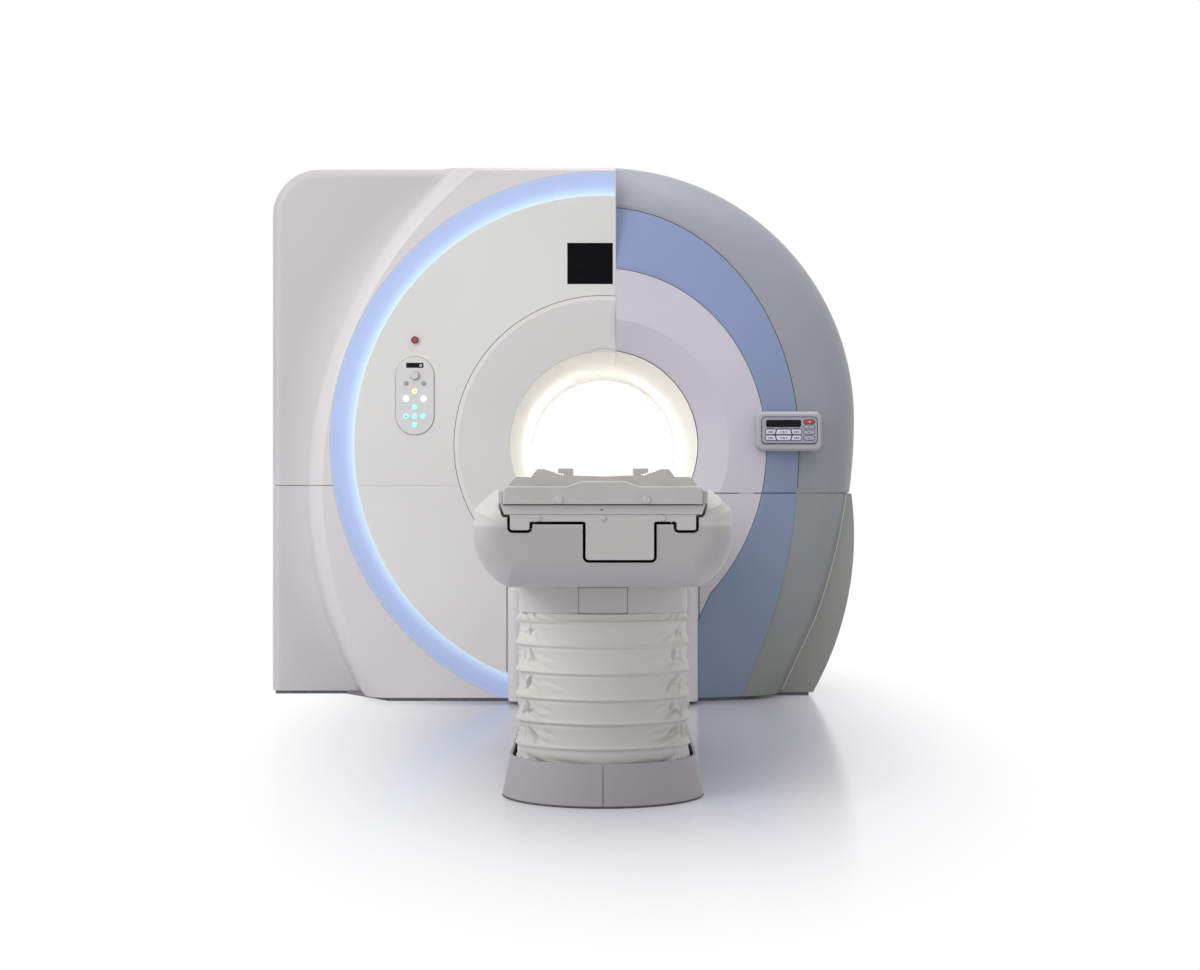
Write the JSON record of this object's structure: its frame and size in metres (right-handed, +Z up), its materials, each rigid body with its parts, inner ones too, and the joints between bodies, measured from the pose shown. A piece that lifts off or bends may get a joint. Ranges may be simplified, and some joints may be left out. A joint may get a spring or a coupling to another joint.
{
  "type": "mri scanner",
  "caption": "Whole-body MRI scanner with a ring-lit gantry, a round patient bore and a lifting couch on bellows with a sliding tabletop.",
  "frame": {"origin": "on the floor, straight below the isocentre of the bore", "axes": "+X to the right seen from the couch, +Y into the bore from the couch, +Z up"},
  "size_m": [2.524, 4.1708, 2.278],
  "materials": {
    "cover_white": "satin",
    "cover_pale": "satin",
    "face_lilac": "satin",
    "band_blue": "satin",
    "shoulder_grey": "satin",
    "side_green": "satin",
    "light_acrylic": "gloss",
    "lip_cream": "gloss",
    "screen_black": "gloss",
    "steel_plate": "satin",
    "vessel_steel": "satin",
    "coil_resin": "satin",
    "aluminium_frame": "satin",
    "panel_grey": "gloss",
    "button_grey": "satin",
    "button_amber": "gloss",
    "button_white": "gloss",
    "button_teal": "gloss",
    "button_red": "gloss",
    "keypad_shell": "satin",
    "key_rubber": "satin",
    "couch_shell": "satin",
    "table_resin": "gloss",
    "socket_grey": "satin",
    "screw_cap": "satin",
    "bellows_cloth": "satin",
    "plinth_grey": "satin",
    "column_metal": "satin"
  },
  "bodies": {
    "gantry": {"band_lower": "band_blue", "band_upper": "band_blue", "base_plate": "steel_plate", "bellows": "bellows_cloth", "bore_bridge": "table_resin", "bore_liner": "lip_cream", "bore_lip_left": "lip_cream", "bore_lip_right": "lip_cream", "button_panel": "panel_grey", "cold_head": "vessel_steel", "couch_frame": "steel_plate", "docking_housing": "cover_pale", "front_disc_lower": "cover_white", "front_disc_upper": "cover_white", "front_frame": "aluminium_frame", "funnel_left": "cover_white", "gradient_coil": "coil_resin", "key_mat": "key_rubber", "keypad_housing": "keypad_shell", "left_cover_lower": "cover_pale", "left_cover_upper": "cover_pale", "light_ring": "light_acrylic", "magnet_vessel": "vessel_steel", "middle_rib": "cover_pale", "plinth": "plinth_grey", "rear_bore_ring": "lip_cream", "rear_cover_left": "cover_pale", "rear_cover_right": "shoulder_grey", "rf_body_coil": "coil_resin", "right_face_lower": "face_lilac", "right_face_upper": "face_lilac", "shoulder_lower": "shoulder_grey", "shoulder_upper": "shoulder_grey", "side_cover_left": "cover_pale", "side_cover_right_lower": "side_green", "side_cover_right_upper": "shoulder_grey", "status_display": "screen_black"},
    "column_stage": {"column_mid": "column_metal"},
    "couch_body": {"column_inner": "column_metal", "neck": "couch_shell", "neck_hatch": "couch_shell", "tub": "couch_shell"},
    "table_body": {"tabletop": "table_resin", "foot_cap": "table_resin", "carriage": "couch_shell", "coil_sockets": "socket_grey", "table_screws": "screw_cap"},
    "knob_body": {"mode_knob": "button_grey"},
    "emergency_body": {"emergency_button": "button_red"},
    "grey_button_left_body": {"grey_button_left": "button_grey"},
    "grey_button_right_body": {"grey_button_right": "button_grey"},
    "amber_button_body": {"amber_button": "button_amber"},
    "white_button_left_body": {"white_button_left": "button_white"},
    "white_button_right_body": {"white_button_right": "button_white"},
    "teal_button_top_body": {"teal_button_top": "button_teal"},
    "teal_button_left_body": {"teal_button_left": "button_teal"},
    "teal_button_middle_body": {"teal_button_middle": "button_teal"},
    "teal_button_right_body": {"teal_button_right": "button_teal"},
    "teal_button_bottom_body": {"teal_button_bottom": "button_teal"}
  },
  "joints": [
    {"name": "couch_lift", "type": "slide", "parent": "gantry", "child": "couch_body", "axis": [0, 0, 1], "range_m": [-0.4, 0], "deforming": ["bellows"]},
    {"name": "column_stage_lift", "type": "slide", "parent": "gantry", "child": "column_stage", "axis": [0, 0, 1], "range_m": [-0.2, 0]},
    {"name": "table_slide", "type": "slide", "parent": "couch_body", "child": "table_body", "axis": [0, 1, 0], "range_m": [0, 1.9]},
    {"name": "mode_knob_turn", "type": "hinge", "parent": "gantry", "child": "knob_body", "pos_m": [-0.786, -0.855, 1.363], "axis": [0, -1, 0], "range_deg": [-135, 135]},
    {"name": "emergency_press", "type": "slide", "parent": "gantry", "child": "emergency_body", "axis": [0, 1, 0], "range_m": [0, 0.0035], "stiffness_N_per_m": 2000},
    {"name": "grey_button_left_press", "type": "slide", "parent": "gantry", "child": "grey_button_left_body", "axis": [0, 1, 0], "range_m": [0, 0.002], "stiffness_N_per_m": 800},
    {"name": "grey_button_right_press", "type": "slide", "parent": "gantry", "child": "grey_button_right_body", "axis": [0, 1, 0], "range_m": [0, 0.002], "stiffness_N_per_m": 800},
    {"name": "amber_button_press", "type": "slide", "parent": "gantry", "child": "amber_button_body", "axis": [0, 1, 0], "range_m": [0, 0.002], "stiffness_N_per_m": 800},
    {"name": "white_button_left_press", "type": "slide", "parent": "gantry", "child": "white_button_left_body", "axis": [0, 1, 0], "range_m": [0, 0.002], "stiffness_N_per_m": 800},
    {"name": "white_button_right_press", "type": "slide", "parent": "gantry", "child": "white_button_right_body", "axis": [0, 1, 0], "range_m": [0, 0.002], "stiffness_N_per_m": 800},
    {"name": "teal_button_top_press", "type": "slide", "parent": "gantry", "child": "teal_button_top_body", "axis": [0, 1, 0], "range_m": [0, 0.002], "stiffness_N_per_m": 800},
    {"name": "teal_button_left_press", "type": "slide", "parent": "gantry", "child": "teal_button_left_body", "axis": [0, 1, 0], "range_m": [0, 0.002], "stiffness_N_per_m": 800},
    {"name": "teal_button_middle_press", "type": "slide", "parent": "gantry", "child": "teal_button_middle_body", "axis": [0, 1, 0], "range_m": [0, 0.002], "stiffness_N_per_m": 800},
    {"name": "teal_button_right_press", "type": "slide", "parent": "gantry", "child": "teal_button_right_body", "axis": [0, 1, 0], "range_m": [0, 0.002], "stiffness_N_per_m": 800},
    {"name": "teal_button_bottom_press", "type": "slide", "parent": "gantry", "child": "teal_button_bottom_body", "axis": [0, 1, 0], "range_m": [0, 0.002], "stiffness_N_per_m": 800}
  ],
  "couplings": [
    {"joint": "column_stage_lift", "follows": "couch_lift", "ratio": 0.5}
  ]
}
